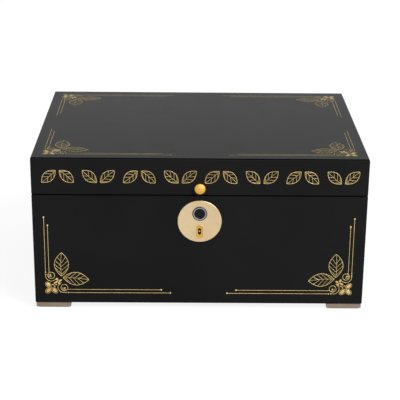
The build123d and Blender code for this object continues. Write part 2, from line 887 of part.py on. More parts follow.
# Key cam: a disc on the drill pin with a slot for the key's bit and a crank pin behind it
cam_front_y = skin_back_y + lock_sheet + cam_play
cam_back_y = latch_front_y - crank_gap
with BuildPart() as key_cam:
    with BuildSketch(plane_at_y(cam_front_y)):
        with Locations((0, key_z)):
            Circle(key_cam_radius)
    extrude(amount=cam_front_y - cam_back_y)
    with BuildSketch(plane_at_y(cam_front_y)):
        with Locations((0, key_z)):
            SlotOverall(keyhole_length, keyhole_width, rotation=90)
    extrude(amount=-cam_slot_depth, mode=Mode.SUBTRACT)
    with BuildSketch(plane_at_y(cam_back_y)):
        with Locations((-crank_x, key_z + crank_low)):
            Circle(crank_pin_radius)
    extrude(amount=cam_back_y - latch_back_y - crank_gap)
    with BuildSketch(plane_at_y(cam_back_y)):
        with Locations((0, key_z)):
            Circle(drill_pin_radius + pin_clearance)
    extrude(amount=cam_back_y - cam_front_y, mode=Mode.SUBTRACT)
save(key_cam, "key_cam")

# Gear motor on the cover, and the crank disc on its output shaft
drive_front_y = latch_back_y + crank_gap
drive_back_y = drive_front_y + drive_disc_thickness
gearbox_front_y = drive_back_y + cam_play
with BuildPart() as drive_crank:
    with BuildSketch(plane_at_y(drive_front_y)):
        with Locations((drive_x, drive_z)):
            Circle(drive_disc_radius)
    extrude(amount=drive_front_y - drive_back_y)
    with BuildSketch(plane_at_y(drive_front_y)):
        with Locations((drive_x - crank_x, drive_z + crank_low)):
            Circle(crank_pin_radius)
    extrude(amount=latch_thickness + crank_gap + cam_play)
    with BuildSketch(plane_at_y(drive_back_y)):
        with Locations((drive_x, drive_z)):
            Circle(shaft_radius)
    extrude(amount=-shaft_length)
save(drive_crank, "drive_crank")

with BuildPart() as gear_motor:
    with BuildSketch(plane_at_y(gearbox_front_y)):
        with Locations((drive_x, drive_z)):
            RectangleRounded(gearbox_size, gearbox_size, gearbox_corner)
    extrude(amount=gearbox_front_y - cover_front_y)
    motor_low = body_bottom + lock_low + 2 * lock_sheet
    with BuildSketch(Plane.XY.offset(motor_low)):
        with Locations((drive_x, (gearbox_front_y + cover_front_y) / 2)):
            Circle(motor_radius)
    extrude(amount=drive_z - gearbox_size / 2 - motor_low)
    with BuildSketch(plane_at_y(gearbox_front_y)):
        with Locations((drive_x, drive_z)):
            Circle(shaft_radius + pin_clearance)
    extrude(amount=-shaft_length - shaft_room, mode=Mode.SUBTRACT)
save(gear_motor, "gear_motor")

with BuildPart() as battery_pack:
    with BuildSketch(plane_at_y(gearbox_front_y)):
        with Locations((battery_x, key_z + battery_above_key)):
            RectangleRounded(gearbox_size, battery_height, gearbox_corner)
    extrude(amount=gearbox_front_y - cover_front_y)
    fillet(battery_pack.faces().sort_by(Axis.Y)[0].edges(), radius=battery_rounding)
save(battery_pack, "battery_pack")

# Control board with its chips and a plug socket
board_back_y = cover_front_y - standoff_height
board_z = body_bottom + lock_high - board_below_top
with BuildPart() as control_board:
    with BuildSketch(plane_at_y(board_back_y)):
        with Locations((0, board_z)):
            Rectangle(board_width, board_height)
    extrude(amount=board_thickness)
    with BuildSketch(plane_at_y(board_back_y - board_thickness)):
        with Locations(*[(x, board_z + dz) for x, dz in chip_places]):
            Rectangle(chip_size, chip_size)
        with GridLocations(socket_pitch, 0, socket_count, 1):
            with Locations((0, board_z - socket_drop)):
                Rectangle(*socket_pin)
    extrude(amount=chip_thickness)
save(control_board, "control_board")

# Tray walls with finger joints, grooved for the floor
tray_top = ledge_top + tray_height
finger = tray_height / finger_count
tray_y = (tray_depth - tray_wall) / 2
floor_width = tray_width - 2 * tray_wall + 2 * tray_groove
floor_depth = tray_depth - 2 * tray_wall + 2 * tray_groove


def tray_board(width, depth, x, y, first_gap, ends):
    with BuildPart() as board:
        with BuildSketch(Plane.XY.offset(ledge_top)):
            with Locations((x, y)):
                Rectangle(width, depth)
        extrude(amount=tray_height)
        for level in range(first_gap, finger_count, 2):
            with BuildSketch(Plane.XY.offset(ledge_top + level * finger)):
                with Locations(*ends):
                    Rectangle(tray_wall, tray_wall)
            extrude(amount=finger, mode=Mode.SUBTRACT)
        with BuildSketch(Plane.XY.offset(tray_floor_z)):
            with Locations((tray_x, 0)):
                Rectangle(floor_width, floor_depth)
        extrude(amount=tray_floor_thickness, mode=Mode.SUBTRACT)
    return board


end_x = (tray_width - tray_wall) / 2
for side, y in (("front", -tray_y), ("back", tray_y)):
    ends = [(tray_x - end_x, y), (tray_x + end_x, y)]
    save(tray_board(tray_width, tray_wall, tray_x, y, 1, ends), f"tray_{side}")

# The end walls have a scoop for the fingers in the top edge
for side, x in (("left", tray_x - end_x), ("right", tray_x + end_x)):
    ends = [(x, -tray_y), (x, tray_y)]
    blank = tray_board(tray_wall, tray_depth, x, 0, 0, ends)
    with BuildPart() as tray_end:
        add(blank.part)
        with BuildSketch(Plane.YZ.offset(x - tray_wall / 2)):
            with Locations((0, tray_top)):
                SlotOverall(scoop_width, 2 * scoop_depth)
        extrude(amount=tray_wall, mode=Mode.SUBTRACT)
    save(tray_end, f"tray_{side}")

# Tray floor with slots that let the moist air through
with BuildPart() as tray_floor:
    with BuildSketch(Plane.XY.offset(tray_floor_z)):
        with Locations((tray_x, 0)):
            Rectangle(floor_width, floor_depth)
            with GridLocations(*floor_slot_pitch, *floor_slot_grid):
                SlotOverall(*floor_slot, mode=Mode.SUBTRACT)
    extrude(amount=tray_floor_thickness)
save(tray_floor, "tray_floor")


# A cedar divider with a rounded thumb notch in its top edge
def divider(x, thickness, width, low, height):
    with BuildPart() as board:
        with BuildSketch(Plane.YZ.offset(x - thickness / 2)):
            with Locations((0, low + height / 2)):
                Rectangle(width, height)
            with Locations((0, low + height)):
                SlotOverall(notch_width, 2 * notch_depth, mode=Mode.SUBTRACT)
        extrude(amount=thickness)
    return board


tray_room_depth = tray_depth - 2 * tray_wall - 2 * divider_clearance
save(
    divider(
        tray_x,
        tray_divider_thickness,
        tray_room_depth,
        tray_floor_z + tray_floor_thickness,
        tray_divider_height,
    ),
    "tray_divider",
)
save(
    divider(
        0,
        lower_divider_thickness,
        room_depth - 2 * divider_clearance,
        floor_z,
        lower_divider_height,
    ),
    "lower_divider",
)

# Humidifier: an open case under the lid, the wet foam and a slotted grille that closes it
humidifier_low = ceiling_z - humidifier_height
with BuildPart() as humidifier_case:
    with BuildSketch(Plane.XY.offset(humidifier_low)):
        with Locations((humidifier_x, 0)):
            RectangleRounded(humidifier_width, humidifier_depth, humidifier_corner)
    extrude(amount=humidifier_height)
    fillet(humidifier_case.edges().group_by(Axis.Z)[0], radius=humidifier_rounding)
    with BuildSketch(Plane.XY.offset(humidifier_low)):
        with Locations((humidifier_x, 0)):
            RectangleRounded(
                humidifier_width - 2 * humidifier_wall,
                humidifier_depth - 2 * humidifier_wall,
                humidifier_corner - humidifier_wall,
            )
    extrude(amount=humidifier_height - humidifier_wall, mode=Mode.SUBTRACT)
save(humidifier_case, "humidifier_case")

with BuildPart() as humidifier_grille:
    with BuildSketch(Plane.XY.offset(humidifier_low + grille_recess)):
        with Locations((humidifier_x, 0)):
            RectangleRounded(
                humidifier_width - 2 * humidifier_wall,
                humidifier_depth - 2 * humidifier_wall,
                humidifier_corner - humidifier_wall,
            )
            with GridLocations(*grille_pitch, *grille_grid):
                SlotOverall(*grille_slot, rotation=90, mode=Mode.SUBTRACT)
    extrude(amount=grille_thickness)
save(humidifier_grille, "humidifier_grille")

foam_low = humidifier_low + grille_recess + grille_thickness
with BuildPart() as humidifier_foam:
    with BuildSketch(Plane.XY.offset(foam_low)):
        with Locations((humidifier_x, 0)):
            Rectangle(
                humidifier_width - 2 * humidifier_wall - 2 * foam_margin,
                humidifier_depth - 2 * humidifier_wall - 2 * foam_margin,
            )
    extrude(amount=ceiling_z - humidifier_wall - foam_low)
save(humidifier_foam, "humidifier_foam")

# Hygrometer: turned parts about a vertical axis, measured downwards from the lid's lining
dial_axis = Axis((hygrometer_x, 0, ceiling_z), (0, 0, 1))
dial_plane = Plane(origin=(hygrometer_x, 0, ceiling_z), x_dir=(1, 0, 0), z_dir=(0, -1, 0))
dial_radius = hygrometer_radius - hygrometer_wall


def turned(points):
    with BuildPart() as piece:
        with BuildSketch(dial_plane):
            Polygon(*points, align=None)
        revolve(axis=dial_axis)
    return piece


bearing = spindle_radius + spindle_clearance
save(
    turned(
        [
            (0, 0),
            (hygrometer_radius, 0),
            (hygrometer_radius, -hygrometer_height),
            (dial_radius, -hygrometer_height),
            (dial_radius, -dial_depth),
            (dial_radius - dial_seat, -dial_depth),
            (dial_radius - dial_seat, -hygrometer_floor),
            (bearing_radius, -hygrometer_floor),
            (bearing_radius, -bearing_depth),
            (bearing, -bearing_depth),
            (bearing, -bearing_floor),
            (0, -bearing_floor),
        ]
    ),
    "hygrometer_case",
)
save(
    turned(
        [
            (bearing, -dial_depth),
            (dial_radius, -dial_depth),
            (dial_radius, -dial_depth - dial_thickness),
            (bearing, -dial_depth - dial_thickness),
        ]
    ),
    "hygrometer_dial",
)
save(
    turned(
        [
            (0, -glass_depth),
            (dial_radius, -glass_depth),
            (dial_radius, -glass_depth - glass_thickness),
            (0, -glass_depth - glass_thickness),
        ]
    ),
    "hygrometer_glass",
)
outside = [(hygrometer_radius + out, up - hygrometer_height) for out, up in rim_outside]
inside = [(dial_radius + out, up - hygrometer_height) for out, up in rim_inside]
save(turned([*outside, *inside, (hygrometer_radius, -hygrometer_height)]), "hygrometer_bezel")

# Needle on its spindle, turned from the top of the dial to a reading of seventy
needle_depth = dial_depth + dial_thickness + needle_above_dial
tip_half, root_half, tail_half = needle_half_widths
with BuildPart() as hygrometer_needle:
    with BuildSketch(Plane.XY.offset(ceiling_z - spindle_top)):
        with Locations((hygrometer_x, 0)):
            Circle(spindle_radius)
    extrude(amount=spindle_top - needle_depth)
    with BuildSketch(Plane.XY.offset(ceiling_z - needle_depth)):
        with Locations((hygrometer_x, 0)):
            Circle(needle_hub)
            Polygon(
                (-root_half, 0),
                (-tip_half, -needle_length),
                (tip_half, -needle_length),
                (root_half, 0),
                (tail_half, needle_tail),
                (-tail_half, needle_tail),
                align=None,
                rotation=needle_reading,
            )
    extrude(amount=-needle_thickness)
save(hygrometer_needle, "hygrometer_needle")

print("latch metres per radian", latch_stroke / 1000 / (crank_turn * pi / 180))
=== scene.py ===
import math

import bmesh
import bpy
from mathutils import Matrix, Vector


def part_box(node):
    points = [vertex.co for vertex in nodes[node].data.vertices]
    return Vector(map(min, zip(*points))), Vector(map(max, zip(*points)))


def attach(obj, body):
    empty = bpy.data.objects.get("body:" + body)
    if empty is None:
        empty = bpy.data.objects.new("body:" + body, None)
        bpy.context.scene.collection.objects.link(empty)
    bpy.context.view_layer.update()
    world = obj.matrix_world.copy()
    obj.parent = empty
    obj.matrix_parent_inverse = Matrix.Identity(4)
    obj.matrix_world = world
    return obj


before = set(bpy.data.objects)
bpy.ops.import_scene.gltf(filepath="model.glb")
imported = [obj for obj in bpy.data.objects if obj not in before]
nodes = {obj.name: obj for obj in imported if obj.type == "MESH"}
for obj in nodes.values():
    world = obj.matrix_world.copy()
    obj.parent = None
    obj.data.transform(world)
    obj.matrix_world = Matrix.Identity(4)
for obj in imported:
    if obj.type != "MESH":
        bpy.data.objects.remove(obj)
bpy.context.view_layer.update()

mm = 0.001
print("frame loaded:", len(nodes), "nodes")


# Camera, fitted to the corners of the case

cameraValues = {
    "place": (-0.01463, -1.44953, 0.62344),  # metres from the floor under the middle of the case
    "yaw": -0.6443,  # degrees
    "down": 20.446,
    "roll": 0.5781,
    "lens": 111.508,
    "sensor": 36.0,
}


def newObject(name, data):
    item = bpy.data.objects.new(name, data)
    bpy.context.scene.collection.objects.link(item)
    return item


def makeCamera(values):
    yaw, down, roll = (math.radians(values[key]) for key in ("yaw", "down", "roll"))
    forward = Vector((-math.sin(yaw) * math.cos(down), math.cos(yaw) * math.cos(down), -math.sin(down)))
    right = Vector((math.cos(yaw), math.sin(yaw), 0))
    up = right.cross(forward)
    tiltedRight = math.cos(roll) * right + math.sin(roll) * up
    tiltedUp = math.cos(roll) * up - math.sin(roll) * right
    camera = newObject("photoCamera", bpy.data.cameras.new("photoCamera"))
    turn = Matrix((tiltedRight, tiltedUp, -forward)).transposed().to_4x4()
    camera.matrix_world = Matrix.Translation(values["place"]) @ turn
    camera.data.lens = values["lens"]
    camera.data.sensor_width = values["sensor"]
    camera.data.clip_end = 50
    bpy.context.scene.camera = camera


makeCamera(cameraValues)
print("camera ready")


# Small helpers for shader and geometry trees

def addNode(tree, kind, inputs=None, **settings):
    node = tree.nodes.new(kind)
    for key, value in settings.items():
        setattr(node, key, value)
    for key, value in (inputs or {}).items():
        plug(tree, node.inputs[key], value)
    return node


def plug(tree, socket, value):
    if isinstance(value, bpy.types.NodeSocket):
        tree.links.new(value, socket)
    elif isinstance(value, bpy.types.Node):
        tree.links.new(value.outputs[0], socket)
    else:
        socket.default_value = value


def maths(tree, operation, first, second=0.0, third=0.0):
    node = addNode(tree, "ShaderNodeMath", operation=operation)
    for socket, value in zip(node.inputs, (first, second, third)):
        plug(tree, socket, value)
    return node.outputs[0]


def total(tree, first, second):
    return maths(tree, "ADD", first, second)


def minus(tree, first, second):
    return maths(tree, "SUBTRACT", first, second)


def product(tree, first, second):
    return maths(tree, "MULTIPLY", first, second)


def axes(tree, vector):
    return addNode(tree, "ShaderNodeSeparateXYZ", {"Vector": vector}).outputs


def newMaterial(name, **sockets):
    material = bpy.data.materials.new(name)
    material.use_nodes = True
    tree = material.node_tree
    shader = tree.nodes["Principled BSDF"]
    for key, value in sockets.items():
        shader.inputs[key.replace("_", " ")].default_value = value
    return material, tree, shader


def placed(tree, scale=(1, 1, 1), shift=(0, 0, 0)):
    where = addNode(tree, "ShaderNodeTexCoord").outputs["Object"]
    inputs = {"Vector": where, "Scale": scale, "Location": shift}
    return addNode(tree, "ShaderNodeMapping", inputs).outputs[0]


def noise(tree, vector, scale, detail=3.0, rough=0.5, distortion=0.0):
    inputs = {"Vector": vector, "Scale": scale, "Detail": detail, "Roughness": rough,
              "Distortion": distortion}
    return addNode(tree, "ShaderNodeTexNoise", inputs).outputs["Fac"]


def ramp(tree, factor, stops):
    node = addNode(tree, "ShaderNodeValToRGB", {"Fac": factor})
    band = node.color_ramp
    while len(band.elements) < len(stops):
        band.elements.new(0.5)
    for element, (place, colour) in zip(band.elements, stops):
        element.position = place
        element.color = (*colour, 1)
    return node.outputs["Color"]


def span(tree, factor, low, high, fromLow=0.0, fromHigh=1.0):
    inputs = {"Value": factor, "From Min": fromLow, "From Max": fromHigh, "To Min": low, "To Max": high}
    return addNode(tree, "ShaderNodeMapRange", inputs).outputs["Result"]


def blendColour(tree, factor, first, second):
    # the colour sockets of this node share their names with others, so they are set by number
    node = addNode(tree, "ShaderNodeMix", data_type="RGBA")
    plug(tree, node.inputs[0], factor)
    plug(tree, node.inputs[6], first)
    plug(tree, node.inputs[7], second)
    return node.outputs[2]


def coat(tree, shader, colour, roughness):
    # colour and roughness both vary over the surface in every finish
    plug(tree, shader.inputs["Base Color"], colour)
    plug(tree, shader.inputs["Roughness"], roughness)


def bumped(tree, shader, height, distance, strength):
    node = addNode(tree, "ShaderNodeBump", {"Height": height, "Distance": distance, "Strength": strength})
    tree.links.new(node.outputs["Normal"], shader.inputs["Normal"])


# Finishes

lacquerValues = {
    "dark": (0.0134, 0.0134, 0.0138),
    "light": (0.0174, 0.0173, 0.0176),
    # the colour of the painted shade along the lid's seam
    "line": (0.0012, 0.0012, 0.0013),
    "seamShadeWidth": 0.0008,  # each side of the seam
    "reflectance": 0.0240,  # specular level of the satin top coat
    "roughness": (0.20, 0.28),
    "cloudScale": 9,
    "rubScale": 34,
    "rubStretch": (1, 1, 6),
    "dustScale": 1500,
    "dustRoughness": 0.16,
    "peelScale": 420.0,
    "peelDepth": 0.000012,
}


def makeLacquer(values):
    material, tree, shader = newMaterial("blackLacquer", Specular_IOR_Level=values["reflectance"])
    here = placed(tree)
    cloud = noise(tree, here, values["cloudScale"], 4, 0.55)
    colour = ramp(tree, cloud, [(0.35, values["dark"]), (0.7, values["light"])])
    # painted shade: a near-black line on the upright sides along the lid's seam, where shade falls in the
    # gap between lid and body
    seam = (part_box("front_wall")[1].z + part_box("lid_front_rail")[0].z) / 2
    away = maths(tree, "ABSOLUTE", minus(tree, axes(tree, here)["Z"], seam))
    near = span(tree, away, 1.0, 0.0, values["seamShadeWidth"] * 0.7, values["seamShadeWidth"] * 1.5)
    normal = addNode(tree, "ShaderNodeNewGeometry").outputs["Normal"]
    upright = span(tree, maths(tree, "ABSOLUTE", axes(tree, normal)["Z"]), 1.0, 0.0, 0.90, 0.99)
    colour = blendColour(tree, product(tree, near, upright), colour, (*values["line"], 1))
    rubbed = noise(tree, placed(tree, values["rubStretch"]), values["rubScale"], 5, 0.6)
    rubbed = span(tree, rubbed, *values["roughness"], 0.3, 0.7)
    dust = noise(tree, here, values["dustScale"], 2, 0.5)
    dust = span(tree, dust, 0, values["dustRoughness"], 0.66, 0.74)
    coat(tree, shader, colour, total(tree, rubbed, dust))
    bumped(tree, shader, noise(tree, here, values["peelScale"], 2, 0.4), values["peelDepth"], 0.6)
    return material


metalValues = {
    "giltLine": {"colour": (0.81, 0.63, 0.275), "worn": (0.61, 0.455, 0.17),
                 "roughness": (0.30, 0.44), "grain": 700},
    "giltPetal": {"colour": (0.75, 0.515, 0.20), "worn": (0.61, 0.39, 0.125),
                  "roughness": (0.26, 0.40), "grain": 600},
    # a darker copy of the gilt for the lid's top: painted shade for the dimmer look of the gilt there
    "giltPaintedShade": {"colour": (0.54, 0.405, 0.15), "worn": (0.41, 0.295, 0.09),
                  "roughness": (0.34, 0.50), "grain": 700},
    "plateGold": {"colour": (0.67, 0.52, 0.315), "worn": (0.63, 0.48, 0.285),
                  "roughness": (0.40, 0.50), "lines": 5200},
    "knobGold": {"colour": (0.76, 0.49, 0.13), "worn": (0.70, 0.43, 0.10),
                 "roughness": (0.62, 0.70), "grain": 400},
    "insertBrass": {"colour": (0.62, 0.37, 0.075), "worn": (0.54, 0.30, 0.05),
                    "roughness": (0.30, 0.40), "grain": 400},
    # the key cam darkened as painted shade, so the keyhole slot shows dark
    "steelPaintedShade": {"colour": (0.10, 0.09, 0.085), "worn": (0.06, 0.055, 0.05),
                  "roughness": (0.30, 0.45), "grain": 260},
    "chrome": {"colour": (0.80, 0.80, 0.81), "worn": (0.70, 0.70, 0.71),
               "roughness": (0.06, 0.14), "grain": 300},
    "hingeBrass": {"colour": (0.66, 0.46, 0.17), "worn": (0.55, 0.36, 0.12),
                   "roughness": (0.22, 0.40), "grain": 260, "stretch": (0.12, 1, 1)},
    "zincSteel": {"colour": (0.56, 0.56, 0.55), "worn": (0.44, 0.45, 0.46),
                  "roughness": (0.28, 0.48), "grain": 180},
}


def makeMetal(name):
    values = metalValues[name]
    material, tree, shader = newMaterial(name, Metallic=1.0)
    here = placed(tree, values.get("stretch", (1, 1, 1)))
    tone = noise(tree, here, values["grain"] * 0.12, 4, 0.6)
    colour = ramp(tree, tone, [(0.38, values["worn"]), (0.62, values["colour"])])
    grain = noise(tree, here, values["grain"], 4, 0.6)
    coat(tree, shader, colour, span(tree, grain, *values["roughness"], 0.3, 0.7))
    bumped(tree, shader, grain, 0.00001, 0.35)
    return material


def fromAxis(tree, name):
    # coordinates from the middle of a round node that faces the front, and the distance from its axis
    low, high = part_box(name)
    middle = (low + high) / 2
    here = placed(tree, shift=(-middle.x, 0, -middle.z))
    parts = axes(tree, here)
    squares = total(tree, maths(tree, "POWER", parts["X"], 2), maths(tree, "POWER", parts["Z"], 2))
    return here, maths(tree, "SQRT", squares)


def makeTurnedPlate(values):
    # the round lock plate is turned, so its fine lines run round its middle
    material, tree, shader = newMaterial("plateGold", Metallic=1.0)
    here, radius = fromAxis(tree, "lock_plate")
    rings = addNode(tree, "ShaderNodeCombineXYZ", {"X": radius}).outputs[0]
    lines = noise(tree, rings, values["lines"], 3, 0.7)
    tone = noise(tree, here, 60, 4, 0.6)
    colour = ramp(tree, tone, [(0.4, values["worn"]), (0.6, values["colour"])])
    coat(tree, shader, colour, span(tree, lines, *values["roughness"], 0.3, 0.7))
    bumped(tree, shader, lines, 0.000015, 0.5)
    return material


ringValues = {
    # the painted shade in the groove and on the outer bead
    "dark": (0.045, 0.045, 0.05),
    # the painted highlight on the crown and the shoulder
    "paintedHighlight": (0.40, 0.40, 0.42),
    "radii": {"groove": 0.0062, "crown": 0.0068, "shoulder": 0.0070, "bead": 0.0075},
    "reach": (0.0056, 0.0085),  # where the colours start and end
    "roughness": (0.10, 0.20),
}


def makeSensorRing(values):
    # painted light: a painted highlight on the crown of the ring, and painted shade in the groove inside
    # it and on its outer bead
    material, tree, shader = newMaterial("sensorRingPaintedLight", Metallic=1.0)
    here, radius = fromAxis(tree, "sensor_bezel")
    start, end = values["reach"]
    paintedLightBands = {"groove": "dark", "crown": "paintedHighlight", "shoulder": "paintedHighlight", "bead": "dark"}
    shares = {part: (place - start) / (end - start) for part, place in values["radii"].items()}
    stops = [(shares[part], values[tone]) for part, tone in paintedLightBands.items()]
    colour = ramp(tree, span(tree, radius, 0, 1, start, end), stops)
    grain = noise(tree, here, 300, 4, 0.6)
    coat(tree, shader, colour, span(tree, grain, *values["roughness"], 0.3, 0.7))
    bumped(tree, shader, grain, 0.000004, 0.3)
    return material


cedarValues = {
    "pale": (0.50, 0.245, 0.115),
    "middle": (0.40, 0.178, 0.078),
    "dark": (0.245, 0.095, 0.038),
    "pore": (0.16, 0.058, 0.024),
    "figureScale": 9,
    "figureTwist": 1.4,
    "driftScale": 3.2,
    "rings": 7,
    "ringWander": 0.35,
    "ringStrength": 0.55,
    "fibreScale": 26,
    "fibreStretch": 9,
    "poreStrength": 0.55,
    "roughness": (0.72, 0.52),
    "depth": 0.00012,
}


def makeCedar(name, stretch, shift):
    # stretch is small along the grain; shift keeps two boards from showing the same figure
    values = cedarValues
    material, tree, shader = newMaterial(name, Specular_IOR_Level=0.3)
    along = placed(tree, stretch, shift=shift)
    figure = noise(tree, along, values["figureScale"], 5, 0.62, values["figureTwist"])
    drift = noise(tree, along, values["driftScale"], 3, 0.5)
    drift = total(tree, drift, product(tree, figure, values["ringWander"]))
    late = maths(tree, "POWER", maths(tree, "FRACT", product(tree, drift, values["rings"])), 3.0)
    wood = ramp(tree, figure, [(0.30, values["middle"]), (0.68, values["pale"])])
    wood = blendColour(tree, product(tree, late, values["ringStrength"]), wood, (*values["dark"], 1))
    fine = tuple(size * values["fibreStretch"] for size in stretch)
    fibres = noise(tree, placed(tree, fine, shift=shift), values["fibreScale"], 4, 0.65)
    pores = span(tree, fibres, values["poreStrength"], 0, 0.30, 0.42)
    wood = blendColour(tree, pores, wood, (*values["pore"], 1))
    coat(tree, shader, wood, span(tree, fibres, *values["roughness"], 0.3, 0.7))
    bumped(tree, shader, minus(tree, fibres, product(tree, late, 0.25)), values["depth"], 0.55)
    return material


footValues = {
    "light": (0.49, 0.375, 0.283),
    "middle": (0.405, 0.305, 0.228),
    "dark": (0.285, 0.212, 0.154),
    "stretch": (6, 6, 240),
    "roughness": (0.62, 0.48),
    "depth": 0.00010,
}


def makeFootWood(values):
    material, tree, shader = newMaterial("taupeWood", Specular_IOR_Level=0.35)
    lines = noise(tree, placed(tree, values["stretch"]), 5, 5, 0.65, 0.3)
    colour = ramp(tree, lines, [(0.30, values["dark"]), (0.5, values["middle"]), (0.72, values["light"])])
    coat(tree, shader, colour, span(tree, lines, *values["roughness"], 0.3, 0.7))
    bumped(tree, shader, lines, values["depth"], 0.5)
    return material


plainValues = {
    "feltBlack": {"low": (0.012, 0.012, 0.013), "high": (0.035, 0.034, 0.035), "scale": 900,
                  "roughness": (0.85, 1.0), "depth": 0.0003},
    "mouldedBlack": {"low": (0.016, 0.016, 0.017), "high": (0.024, 0.024, 0.025), "scale": 1400,
                     "roughness": (0.38, 0.52), "depth": 0.00003},
    "sensorGlass": {"low": (0.008, 0.008, 0.009), "high": (0.016, 0.015, 0.015), "scale": 240,
                    "roughness": (0.14, 0.24), "depth": 0.000006, "shine": 0.08},
    "batteryWrap": {"low": (0.020, 0.050, 0.110), "high": (0.030, 0.070, 0.150), "scale": 90,
                    "roughness": (0.30, 0.42), "depth": 0.00005},
    "dialCard": {"low": (0.74, 0.71, 0.63), "high": (0.82, 0.80, 0.72), "scale": 500,
                 "roughness": (0.55, 0.70), "depth": 0.00002},
    "needleBlack": {"low": (0.010, 0.010, 0.010), "high": (0.020, 0.020, 0.020), "scale": 800,
                    "roughness": (0.25, 0.35), "depth": 0.000005},
    # the black of the painted shade along the front edge of the lid's top
    "edgePaintedShade": {"low": (0.0010, 0.0010, 0.0011), "high": (0.0022, 0.0022, 0.0023), "scale": 700,
                  "roughness": (0.80, 0.95), "depth": 0.000004, "shine": 0.0},
    "dialInk": {"low": (0.012, 0.011, 0.011), "high": (0.030, 0.028, 0.027), "scale": 1800,
                "roughness": (0.55, 0.75), "depth": 0.000004},
}


def makePlain(name):
    values = plainValues[name]
    material, tree, shader = newMaterial(name, Specular_IOR_Level=values.get("shine", 0.5))
    here = placed(tree)
    grain = noise(tree, here, values["scale"], 4, 0.6)
    colour = ramp(tree, grain, [(0.35, values["low"]), (0.65, values["high"])])
    patches = noise(tree, here, values["scale"] * 0.2)
    coat(tree, shader, colour, span(tree, patches, *values["roughness"], 0.3, 0.7))
    bumped(tree, shader, grain, values["depth"], 0.5)
    return material


foamValues = {
    "pore": (0.02, 0.045, 0.025),
    "wall": (0.09, 0.16, 0.085),
    "scale": 900.0,
    "depth": 0.0006,
}


def makeFoam(values):
    material, tree, shader = newMaterial("spongeFoam", Specular_IOR_Level=0.2)
    inputs = {"Vector": placed(tree), "Scale": values["scale"]}
    cells = addNode(tree, "ShaderNodeTexVoronoi", inputs).outputs["Distance"]
    colour = ramp(tree, cells, [(0.1, values["pore"]), (0.6, values["wall"])])
    coat(tree, shader, colour, span(tree, cells, 1.0, 0.8))
    bumped(tree, shader, cells, values["depth"], 0.8)
    return material


boardValues = {
    "mask": (0.010, 0.075, 0.030),
    "track": (0.020, 0.130, 0.050),
    "scale": 340.0,
    "depth": 0.00003,
}


def makeBoardGreen(values):
    material, tree, shader = newMaterial("boardGreen")
    here = placed(tree)
    inputs = {"Vector": here, "Scale": values["scale"]}
    tracks = addNode(tree, "ShaderNodeTexVoronoi", inputs, distance="MANHATTAN").outputs["Distance"]
    colour = ramp(tree, tracks, [(0.42, values["mask"]), (0.46, values["track"]), (0.54, values["mask"])])
    coat(tree, shader, colour, span(tree, noise(tree, here, 300), 0.25, 0.4))
    bumped(tree, shader, tracks, values["depth"], 0.5)
    return material


def makeGlass():
    material, tree, shader = newMaterial("clearGlass", IOR=1.5, Transmission_Weight=1.0)
    shader.inputs["Base Color"].default_value = (0.97, 0.98, 0.98, 1)
    smears = noise(tree, placed(tree, (1, 3, 1)), 70, 4, 0.6)
    plug(tree, shader.inputs["Roughness"], span(tree, smears, 0.0, 0.05, 0.45, 0.7))
    bumped(tree, shader, smears, 0.000004, 0.2)
    return material


cedarAlongX = makeCedar("cedarAlongX", (0.9, 9, 9), (0, 0, 0))
cedarAlongY = makeCedar("cedarAlongY", (9, 0.9, 9), (0.37, 0.11, 0.23))
metals = {name: makeMetal(name) for name in metalValues if name != "plateGold"}
plainFinishes = {name: makePlain(name) for name in plainValues}

finishOfSlot = {
    "black_lacquer": makeLacquer(lacquerValues),
    "taupe_wood": makeFootWood(footValues),
    "felt": plainFinishes["feltBlack"],
    "cedar": cedarAlongX,
    "champagne_plate": makeTurnedPlate(metalValues["plateGold"]),
    "chrome": metals["chrome"],
    "sensor_glass": plainFinishes["sensorGlass"],
    "gold_plate": metals["knobGold"],
    "lock_steel": metals["zincSteel"],
    "black_plastic": plainFinishes["mouldedBlack"],
    "circuit_board": makeBoardGreen(boardValues),
    "battery_wrap": plainFinishes["batteryWrap"],
    "brass": metals["hingeBrass"],
    "foam": makeFoam(foamValues),
    "dial_card": plainFinishes["dialCard"],
    "clear_glass": makeGlass(),
    "needle_enamel": plainFinishes["needleBlack"],
}
finishOfNode = {
    "keyhole_insert": metals["insertBrass"],
    # painted shade: the dark key cam stands in for the shade inside the keyhole slot
    "key_cam": metals["steelPaintedShade"],
    "sensor_bezel": makeSensorRing(ringValues),
}
grainAlongY = (
    "liner_left",
    "liner_right",
    "tray_left",
    "tray_right",
    "tray_divider",
    "lower_divider",
    "tray_ledges",
)
finishOfNode.update((name, cedarAlongY) for name in grainAlongY)

for node in nodes.values():
    for slot in node.material_slots:
        slot.material = finishOfSlot[slot.material.name.split(".")[0]]
for name, finish in finishOfNode.items():
    nodes[name].material_slots[0].material = finish
print("finishes ready:", len(bpy.data.materials))


# Geometry Nodes: a tree is written once, and grown into a plain mesh with its values

def newTree(name, numbers, sockets=()):
    tree = bpy.data.node_groups.new(name, "GeometryNodeTree")
    tree.is_modifier = True
    for key, value in numbers.items():
        kind = "NodeSocketInt" if isinstance(value, int) else "NodeSocketFloat"
        tree.interface.new_socket(key, in_out="INPUT", socket_type=kind).default_value = value
    for key in sockets:
        tree.interface.new_socket(key, in_out="INPUT", socket_type="NodeSocketMaterial")
    tree.interface.new_socket("Geometry", in_out="OUTPUT", socket_type="NodeSocketGeometry")
    return tree, tree.nodes.new("NodeGroupInput").outputs


def finishTree(tree, geometry):
    result = tree.nodes.new("NodeGroupOutput")
    plug(tree, result.inputs[0], geometry)


